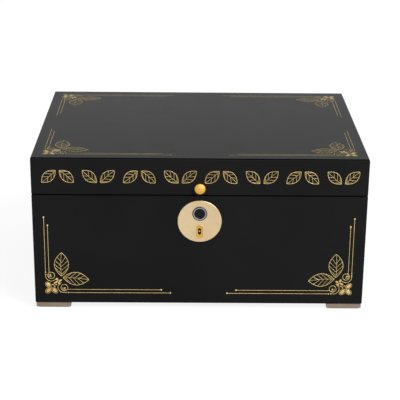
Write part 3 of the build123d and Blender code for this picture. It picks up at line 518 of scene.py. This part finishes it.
def grow(name, tree, values):
    # the modifier's values are set by identifier, before the object is evaluated once
    holder = newObject(name, bpy.data.meshes.new(name))
    modifier = holder.modifiers.new("grow", "NODES")
    modifier.node_group = tree
    for socket in tree.interface.items_tree:
        if socket.item_type == "SOCKET" and socket.in_out == "INPUT" and socket.name in values:
            modifier[socket.identifier] = values[socket.name]
    graph = bpy.context.evaluated_depsgraph_get()
    mesh = bpy.data.meshes.new_from_object(holder.evaluated_get(graph), depsgraph=graph)
    holder.modifiers.remove(modifier)
    holder.data = mesh
    tidyMesh(mesh)
    dropEmptySlots(mesh)
    return holder


def dropEmptySlots(mesh):
    # joining bare meshes inside a tree can leave a slot with no material in it
    finishes = list(mesh.materials)
    chosen = [finishes[face.material_index] for face in mesh.polygons]
    kept = [finish for finish in finishes if finish]
    mesh.materials.clear()
    for finish in kept:
        mesh.materials.append(finish)
    for face, finish in zip(mesh.polygons, chosen):
        face.material_index = kept.index(finish)


def tidyMesh(mesh):
    shape = bmesh.new()
    shape.from_mesh(mesh)
    bmesh.ops.remove_doubles(shape, verts=shape.verts, dist=1e-7)
    bmesh.ops.recalc_face_normals(shape, faces=shape.faces)
    shape.to_mesh(mesh)
    shape.free()


def onto(piece, place, turn):
    piece.data.transform(Matrix.Translation(place) @ turn)
    piece.data.update()


facingFront = Matrix.Rotation(math.radians(90), 4, "X")
facingUp = Matrix.Identity(4)
facingDown = Matrix.Rotation(math.pi, 4, "X")


# One gilt leaf: outline, midrib and side veins as raised lines, stem at the origin and tip along X

leafValues = {
    "Length": 0.0212,
    "Half width": 0.0058,
    "Veins": 3,
    "Line": 0.00062,
    "Vein": 0.00042,
    "Rise": 0.00016,
}
leafShares = {
    "ribBend": 0.22,  # of the half width
    "firstVein": 0.09,  # of the length, like the next two
    "veinSpread": 0.64,
    "veinRun": 0.25,
    "veinReach": 0.98,  # of the way to the leaf's edge
}


def flatLine(tree, curve, width, rise):
    # a low ridge: a six-sided profile, flattened, carried along the curve
    upright = addNode(tree, "GeometryNodeSetCurveNormal", {"Curve": curve}, mode="Z_UP")
    circle = addNode(tree, "GeometryNodeCurvePrimitiveCircle", {"Resolution": 6, "Radius": 0.5})
    size = addNode(tree, "ShaderNodeCombineXYZ", {"X": width, "Y": rise, "Z": 1.0})
    profile = addNode(tree, "GeometryNodeTransform", {"Geometry": circle, "Scale": size.outputs[0]})
    inputs = {"Curve": upright, "Profile Curve": profile, "Fill Caps": True}
    return addNode(tree, "GeometryNodeCurveToMesh", inputs).outputs[0]


def point(tree, x=0.0, y=0.0, z=0.0):
    return addNode(tree, "ShaderNodeCombineXYZ", {"X": x, "Y": y, "Z": z}).outputs[0]


def joined(tree, *parts):
    node = addNode(tree, "GeometryNodeJoinGeometry")
    for part in reversed(parts):
        plug(tree, node.inputs[0], part)
    return node.outputs[0]


def moved(tree, geometry, place=(0, 0, 0), turn=(0, 0, 0), scale=(1, 1, 1)):
    inputs = {"Geometry": geometry, "Translation": place, "Rotation": turn, "Scale": scale}
    return addNode(tree, "GeometryNodeTransform", inputs).outputs[0]


def scattered(tree, spots, shape, **settings):
    # the shape at every spot, as real geometry
    inputs = {"Points": spots, "Instance": shape, **settings}
    copies = addNode(tree, "GeometryNodeInstanceOnPoints", inputs)
    return addNode(tree, "GeometryNodeRealizeInstances", {"Geometry": copies}).outputs[0]


def painted(tree, geometry, finish):
    return addNode(tree, "GeometryNodeSetMaterial", {"Geometry": geometry, "Material": finish}).outputs[0]


def bowed(tree, middle, tip, resolution):
    inputs = {"Start": (0, 0, 0), "Middle": middle, "End": tip, "Resolution": resolution}
    return addNode(tree, "GeometryNodeCurveQuadraticBezier", inputs).outputs[0]


def leafShape(tree, length, halfWidth, veins, line, vein, rise):
    half = product(tree, length, 0.5)
    tip = point(tree, length)
    # the middle of each bezier lies twice as far out as the leaf's edge
    edges = []
    for side in (2.0, -2.0):
        crown = point(tree, half, product(tree, halfWidth, side))
        edges.append(bowed(tree, crown, tip, 14))
    rib = bowed(tree, point(tree, half, product(tree, halfWidth, leafShares["ribBend"])), tip, 8)
    # each side vein starts on the middle line and ends just inside the edge
    index = addNode(tree, "GeometryNodeInputIndex").outputs[0]
    step = maths(tree, "DIVIDE", leafShares["veinSpread"], veins)
    start = maths(tree, "MULTIPLY_ADD", index, step, leafShares["firstVein"])
    end = total(tree, start, leafShares["veinRun"])
    edgeShare = product(tree, product(tree, end, minus(tree, 1.0, end)), 4.0)
    reach = product(tree, edgeShare, halfWidth)
    run = product(tree, length, leafShares["veinRun"])
    inputs = {"Count": veins, "Position": point(tree, product(tree, start, length))}
    roots = addNode(tree, "GeometryNodePoints", inputs)
    spur = addNode(tree, "GeometryNodeCurvePrimitiveLine", {"Start": (0, 0, 0), "End": (1, 1, 0)})
    spurs = []
    for side in (leafShares["veinReach"], -leafShares["veinReach"]):
        size = point(tree, run, product(tree, reach, side), 1.0)
        spurs.append(scattered(tree, roots, spur, Scale=size))
    outline = flatLine(tree, joined(tree, *edges), line, rise)
    veinLines = flatLine(tree, joined(tree, rib, *spurs), vein, rise)
    return joined(tree, outline, veinLines)


# The border on the lid's front: pairs of leaves, in turn with their stems up and their stems down

borderValues = {
    **leafValues,
    "Leaves": 16,
    "Pitch": 0.04585,
    "Stem gap": 0.0043,
    "Height": 0.0140,
    "Slope": 41.7,
}
borderPlace = {"offCentre": 0.0007, "middle": 0.1624}


def makeBorderTree():
    tree, values = newTree("leafBorder", borderValues, ["Gilt"])
    leaf = leafShape(tree, *(values[key] for key in leafValues))
    index = addNode(tree, "GeometryNodeInputIndex").outputs[0]
    pair = maths(tree, "FLOOR", maths(tree, "DIVIDE", index, 2.0))
    side = maths(tree, "MULTIPLY_ADD", maths(tree, "MODULO", index, 2.0), 2.0, -1.0)
    hang = maths(tree, "MULTIPLY_ADD", maths(tree, "MODULO", pair, 2.0), -2.0, 1.0)
    middlePair = maths(tree, "MULTIPLY_ADD", values["Leaves"], 0.25, -0.5)
    x = product(tree, minus(tree, pair, middlePair), values["Pitch"])
    x = total(tree, x, product(tree, product(tree, side, values["Stem gap"]), 0.5))
    y = product(tree, product(tree, hang, values["Height"]), 0.5)
    inputs = {"Count": values["Leaves"], "Position": point(tree, x, y)}
    stems = addNode(tree, "GeometryNodePoints", inputs)
    slope = maths(tree, "RADIANS", values["Slope"])
    rightTurn = product(tree, product(tree, slope, hang), -1.0)
    leftTurn = minus(tree, math.pi, rightTurn)
    onLeft = maths(tree, "LESS_THAN", side, 0.0)
    turn = total(tree, product(tree, onLeft, minus(tree, leftTurn, rightTurn)), rightTurn)
    row = scattered(tree, stems, leaf, Rotation=point(tree, 0.0, 0.0, turn))
    finishTree(tree, painted(tree, row, values["Gilt"]))
    return tree


def makeBorder():
    border = grow("giltLeafBorder", makeBorderTree(), {**borderValues, "Gilt": metals["giltLine"]})
    low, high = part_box("lid_front_rail")
    onto(border, (borderPlace["offCentre"], low.y, borderPlace["middle"]), facingFront)
    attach(border, "lid")


makeBorder()
print("leaf border ready")


# The corner flourish: two pairs of lines, two curls, a flower and two leaves, drawn in millimetres
# from the corner of the lines, x inwards and y upwards

flourishValues = {
    "Side line": 93.4,
    "Inner side line": 83.6,
    "Base line": 143.7,
    "Inner base line": 133.3,
    "Half width": 176.6,
    "Half height": 123.8,
    "Veins": 4,
    "Long line": 0.56,
    "Line": 0.62,
    "Vein": 0.46,
    "Rise": 0.16,
    "Bead": 1.0,
    "Bead rise": 0.35,
    "Dome rise": 1.0,
}
curls = (  # the middle of each ring, and of the bead in it
    ((6.3, 21.5), (5.4, 22.0)),
    ((21.2, 6.2), (21.4, 5.4)),
)
curlSizes = {"ring": 4.0, "hook": 2.2}
hookAngles = (150, 170)  # start and sweep
collars = (((6.4, 20.9), 164), ((20.2, 6.4), 109))  # an open arc round each curl, and where it starts
collarSizes = {"radius": 6.5, "sweep": 177}
sprays = (  # the two leaves
    {"stem": (18.3, 20.6), "slope": 88.8, "length": 29.4, "halfWidth": 8.2},
    {"stem": (20.0, 18.8), "slope": -5.0, "length": 29.8, "halfWidth": 8.0},
)
flowers = (
    {"middle": (6.3, 6.1), "turns": (135, 225, 315), "away": 5.0, "size": (3.1, 1.9), "rise": 0.45,
     "rim": (4.2, 2.8)},
    {"middle": (14.2, 14.0), "turns": (25, 115, 205, 295), "away": 2.6, "size": (2.0, 1.15),
     "rise": 0.35},
    {"middle": (9.9, 9.9), "turns": (0, 90, 180, 270), "away": 1.9, "size": (1.1, 0.75), "rise": 0.30},
)
lineStart = {"outer": 25.5, "inner": 24.6, "innerOffset": 4.0}  # from the corner of the outer lines
smallBeads = {"size": 0.75, "back": (0, 2.6)}  # on the outer lines, at their start and behind it
flourishPlace = {
    "bodyHeight": 0.0198,  # of the base line, above the floor
    "bodyShift": -0.0004,
}
lidFlourishValues = {
    **flourishValues,
    "Long line": 0.46,
    "Line": 0.46,
    "Vein": 0.32,
    "Rise": 0.10,
    "Bead": 0.45,
    "Bead rise": 0.10,
    "Dome rise": 0.2,
    "Half width": 176.9,
    "Side line": 94.8,
    "Inner side line": 86.3,
    "Base line": 143.9,
    "Inner base line": 133.9,
}


def arcLine(tree, middle, radius, start, sweep):
    inputs = {"Resolution": 28, "Radius": radius, "Start Angle": math.radians(start),
              "Sweep Angle": math.radians(sweep)}
    return moved(tree, addNode(tree, "GeometryNodeCurveArc", inputs), (*middle, 0))


def straight(tree, start, end):
    return addNode(tree, "GeometryNodeCurvePrimitiveLine", {"Start": start, "End": end}).outputs[0]


def bead(tree, place, radius, rise):
    ball = addNode(tree, "GeometryNodeMeshUVSphere", {"Segments": 12, "Rings": 6, "Radius": 1.0})
    return moved(tree, ball.outputs[0], place, scale=point(tree, radius, radius, rise))


def petalPlaces(kind):
    # the middle of each petal, and the way it points
    x, y = kind["middle"]
    angles = [math.radians(turn) for turn in kind["turns"]]
    away = kind["away"]
    return [((x + away * math.cos(angle), y + away * math.sin(angle), 0), angle) for angle in angles]


def petals(tree, kind, rise):
    # low domes that point to the middle of the flower
    domes = []
    for place, angle in petalPlaces(kind):
        ball = addNode(tree, "GeometryNodeMeshUVSphere", {"Segments": 16, "Rings": 8, "Radius": 1.0})
        size = point(tree, *kind["size"], product(tree, rise, kind["rise"]))
        domes.append(moved(tree, ball.outputs[0], place, (0, 0, angle), size))
    return domes


def petalRims(tree, kind):
    # a fine line round each petal of the large flower
    rims = []
    for place, angle in petalPlaces(kind):
        circle = addNode(tree, "GeometryNodeCurvePrimitiveCircle", {"Resolution": 20, "Radius": 1.0})
        rims.append(moved(tree, circle.outputs[0], place, (0, 0, angle), (*kind["rim"], 1)))
    return rims


def mirrored(tree, geometry, scale):
    flipped = moved(tree, geometry, scale=scale)
    return addNode(tree, "GeometryNodeFlipFaces", {"Mesh": flipped}).outputs[0]


def borderLines(tree, values):
    # the four long lines, each with a bead at its far end, and small beads at the corner
    offset, outer, inner = (lineStart[key] for key in ("innerOffset", "outer", "inner"))
    ends = (
        ((0, outer, 0), point(tree, 0.0, values["Side line"])),
        ((offset, inner, 0), point(tree, offset, values["Inner side line"])),
        ((outer, 0, 0), point(tree, values["Base line"])),
        ((inner, offset, 0), point(tree, values["Inner base line"], offset)),
    )
    longLines = joined(tree, *(straight(tree, near, far) for near, far in ends))
    parts = [flatLine(tree, longLines, values["Long line"], values["Rise"])]
    parts += [bead(tree, far, values["Bead"], values["Bead rise"]) for near, far in ends]
    small = product(tree, values["Bead"], smallBeads["size"])
    for back in smallBeads["back"]:
        for place in ((0, outer - back, 0), (outer - back, 0, 0)):
            parts.append(bead(tree, place, small, values["Bead rise"]))
    return parts


def tendrils(tree, values):
    # a ring, a hook and a bead for each curl, and an open arc round it
    lines, beads = [], []
    for middle, beadPlace in curls:
        lines.append(arcLine(tree, middle, curlSizes["ring"], 0, 359.9))
        lines.append(arcLine(tree, beadPlace, curlSizes["hook"], *hookAngles))
        beads.append(bead(tree, (*beadPlace, 0), values["Bead"], values["Bead rise"]))
    for middle, start in collars:
        lines.append(arcLine(tree, middle, collarSizes["radius"], start, collarSizes["sweep"]))
    return [*beads, flatLine(tree, joined(tree, *lines), values["Line"], values["Rise"])]


def sprayLeaves(tree, values):
    leaves = []
    for spray in sprays:
        drawing = (values[key] for key in ("Veins", "Line", "Vein", "Rise"))
        leaf = leafShape(tree, spray["length"], spray["halfWidth"], *drawing)
        leaves.append(moved(tree, leaf, (*spray["stem"], 0), (0, 0, math.radians(spray["slope"]))))
    return leaves


def makeFlourishTree(name, fourCorners):
    tree, values = newTree(name, flourishValues, ["Gilt", "Petal gold"])
    rims = [rim for kind in flowers if "rim" in kind for rim in petalRims(tree, kind)]
    rimLines = flatLine(tree, joined(tree, *rims), values["Vein"], values["Rise"])
    parts = [*borderLines(tree, values), *tendrils(tree, values), *sprayLeaves(tree, values), rimLines]
    drawn = painted(tree, joined(tree, *parts), values["Gilt"])
    domes = [dome for kind in flowers for dome in petals(tree, kind, values["Dome rise"])]
    filled = painted(tree, joined(tree, *domes), values["Petal gold"])
    left = product(tree, values["Half width"], -1.0)
    down = product(tree, values["Half height"], -1.0)
    whole = moved(tree, joined(tree, drawn, filled), point(tree, left, down))
    whole = joined(tree, whole, mirrored(tree, whole, (-1, 1, 1)))
    if fourCorners:
        whole = joined(tree, whole, mirrored(tree, whole, (1, -1, 1)))
    finishTree(tree, moved(tree, whole, scale=(mm, mm, mm)))
    return tree


def makeFlourishes():
    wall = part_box("front_wall")[0]
    onBody = {**flourishValues, "Half height": 0.0, "Gilt": metals["giltLine"],
              "Petal gold": metals["giltPetal"]}
    corners = grow("bodyCornerFlourish", makeFlourishTree("bodyFlourish", False), onBody)
    onto(corners, (flourishPlace["bodyShift"], wall.y, flourishPlace["bodyHeight"]), facingFront)
    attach(corners, "base")
    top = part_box("lid_top_panel")[1]
    # the lid's gilt uses the darker copy, as painted shade
    onLid = {**lidFlourishValues, "Gilt": metals["giltPaintedShade"], "Petal gold": metals["giltPaintedShade"]}
    corners = grow("lidCornerFlourish", makeFlourishTree("lidFlourish", True), onLid)
    onto(corners, (0, 0, top.z), facingUp)
    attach(corners, "lid")


makeFlourishes()
print("corner flourishes ready")


# Painted shade: a black strip along the front of the lid's top, standing in for the dark that its rounded
# front edge reflects

edgeShadeValues = {
    "width": 0.0035,
    "fromEdge": 0.0007,
    "sideGap": 0.0008,
    "rise": 0.00004,
}


def makeEdgeLine(values):
    low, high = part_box("lid_top_panel")
    front = low.y + values["fromEdge"]
    left, right = low.x + values["sideGap"], high.x - values["sideGap"]
    shape = bmesh.new()
    bmesh.ops.create_cube(shape, size=1.0)
    size = Matrix.Diagonal((right - left, values["width"], 2 * values["rise"], 1))
    place = Matrix.Translation(((left + right) / 2, front + values["width"] / 2, high.z))
    bmesh.ops.transform(shape, matrix=place @ size, verts=shape.verts)
    mesh = bpy.data.meshes.new("lidEdgePaintedShade")
    shape.to_mesh(mesh)
    shape.free()
    line = newObject("lidEdgePaintedShade", mesh)
    mesh.materials.append(plainFinishes["edgePaintedShade"])
    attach(line, "lid")


makeEdgeLine(edgeShadeValues)
print("lid edge line ready")


# Hygrometer marks on the dial's underside: twelve o'clock is towards the lid's front edge

dialValues = {
    "Ticks": 51,
    "Major every": 5,
    "Sweep": 270.0,
    "Outer": 0.0192,
    "Long tick": 0.0030,
    "Short tick": 0.0017,
    "Wide tick": 0.00050,
    "Thin tick": 0.00026,
    "Thickness": 0.00008,
}
numberValues = {
    "every": 20,
    "size": 0.0038,
    "radius": 0.0131,
    "signPlace": (0.0, -0.0105),
    "signSize": 0.0042,
}


def tickSize(tree, major, large, small):
    return maths(tree, "MULTIPLY_ADD", major, minus(tree, large, small), small)


def makeDialTree():
    tree, values = newTree("dialTicks", dialValues, ["Ink"])
    index = addNode(tree, "GeometryNodeInputIndex").outputs[0]
    major = maths(tree, "LESS_THAN", maths(tree, "MODULO", index, values["Major every"]), 0.5)
    share = maths(tree, "DIVIDE", index, minus(tree, values["Ticks"], 1.0))
    angle = maths(tree, "RADIANS", product(tree, minus(tree, 0.5, share), values["Sweep"]))
    length = tickSize(tree, major, values["Long tick"], values["Short tick"])
    width = tickSize(tree, major, values["Wide tick"], values["Thin tick"])
    radius = minus(tree, values["Outer"], product(tree, length, 0.5))
    x = product(tree, maths(tree, "SINE", angle), product(tree, radius, -1.0))
    y = product(tree, maths(tree, "COSINE", angle), radius)
    inputs = {"Count": values["Ticks"], "Position": point(tree, x, y)}
    spots = addNode(tree, "GeometryNodePoints", inputs)
    tick = addNode(tree, "GeometryNodeMeshCube", {"Size": (1, 1, 1)}).outputs[0]
    size = point(tree, width, length, values["Thickness"])
    row = scattered(tree, spots, tick, Rotation=point(tree, 0.0, 0.0, angle), Scale=size)
    finishTree(tree, painted(tree, row, values["Ink"]))
    return tree


def makeWord(text, size, x, y):
    # a text object becomes a plain mesh before it is placed
    curve = bpy.data.curves.new("dialNumber", "FONT")
    curve.body = text
    curve.size = size
    curve.extrude = dialValues["Thickness"] / 2
    curve.align_x = "CENTER"
    curve.align_y = "CENTER"
    curve.resolution_u = 3
    holder = newObject("dialNumber", curve)
    graph = bpy.context.evaluated_depsgraph_get()
    mesh = bpy.data.meshes.new_from_object(holder.evaluated_get(graph), depsgraph=graph)
    mesh.transform(Matrix.Translation((x, y, 0)))
    bpy.data.objects.remove(holder)
    return mesh


def makeDialMarks():
    marks = grow("dialMarks", makeDialTree(), {**dialValues, "Ink": plainFinishes["dialInk"]})
    whole = bmesh.new()
    whole.from_mesh(marks.data)
    words = []
    for reading in range(0, 101, numberValues["every"]):
        angle = math.radians((0.5 - reading / 100) * dialValues["Sweep"])
        x = -math.sin(angle) * numberValues["radius"]
        y = math.cos(angle) * numberValues["radius"]
        words.append((str(reading), numberValues["size"], x, y))
    words.append(("%", numberValues["signSize"], *numberValues["signPlace"]))
    for word in words:
        mesh = makeWord(*word)
        whole.from_mesh(mesh)
        bpy.data.meshes.remove(mesh)
    whole.to_mesh(marks.data)
    whole.free()
    tidyMesh(marks.data)
    low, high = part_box("hygrometer_dial")
    middle = (low + high) / 2
    onto(marks, (middle.x, middle.y, low.z), facingDown)
    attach(marks, "lid")


makeDialMarks()
print("dial marks ready")


# Floor, light and background

stageValues = {
    "floorSize": 8.0,
    "floorGrey": 0.22,
    "floorLift": 0.86,  # what the floor adds for the camera and for reflections, so it shows white
    "ambient": 0.50,
}
lampValues = {
    "keyLamp": {"place": (1.35, -1.1, 1.65), "target": (0, 0, 0.09), "size": 1.5, "power": 46.0},
    "fillLamp": {"place": (-1.9, -1.6, 1.6), "target": (0, 0, 0.09), "size": 1.8, "power": 5.0},
}


def seenDirectly(tree):
    # 1 for rays from the camera, from mirrors and through glass, and 0 for the light that falls on things
    path = addNode(tree, "ShaderNodeLightPath")
    seen = maths(tree, "MAXIMUM", path.outputs["Is Camera Ray"], path.outputs["Is Glossy Ray"])
    return maths(tree, "MAXIMUM", seen, path.outputs["Is Transmission Ray"])


def makeFloor(values):
    half = values["floorSize"] / 2
    mesh = bpy.data.meshes.new("floor")
    corners = [(-half, -half, 0), (half, -half, 0), (half, half, 0), (-half, half, 0)]
    mesh.from_pydata(corners, [], [(0, 1, 2, 3)])
    floor = newObject("floor", mesh)
    material, tree, shader = newMaterial("paleFloor", Specular_IOR_Level=0.0, Roughness=1.0)
    grey = values["floorGrey"]
    shader.inputs["Base Color"].default_value = (grey, grey, grey, 1)
    shader.inputs["Emission Color"].default_value = (1, 1, 1, 1)
    lift = product(tree, seenDirectly(tree), values["floorLift"])
    plug(tree, shader.inputs["Emission Strength"], lift)
    mesh.materials.append(material)


def makeWorld(values):
    world = bpy.data.worlds.new("softRoom")
    world.use_nodes = True
    tree = world.node_tree
    background = tree.nodes["Background"]
    background.inputs["Color"].default_value = (1, 1, 1, 1)
    seen = seenDirectly(tree)
    plug(tree, background.inputs["Strength"], span(tree, seen, values["ambient"], 1.0))
    bpy.context.scene.world = world


def makeLamp(name, values):
    lamp = newObject(name, bpy.data.lights.new(name, "AREA"))
    lamp.data.size = values["size"]
    lamp.data.energy = values["power"]
    lamp.location = values["place"]
    aim = Vector(values["target"]) - Vector(values["place"])
    lamp.rotation_euler = aim.to_track_quat("-Z", "Y").to_euler()


makeFloor(stageValues)
makeWorld(stageValues)
for name, values in lampValues.items():
    makeLamp(name, values)
bpy.context.scene.view_settings.view_transform = "Standard"
print("stage ready")
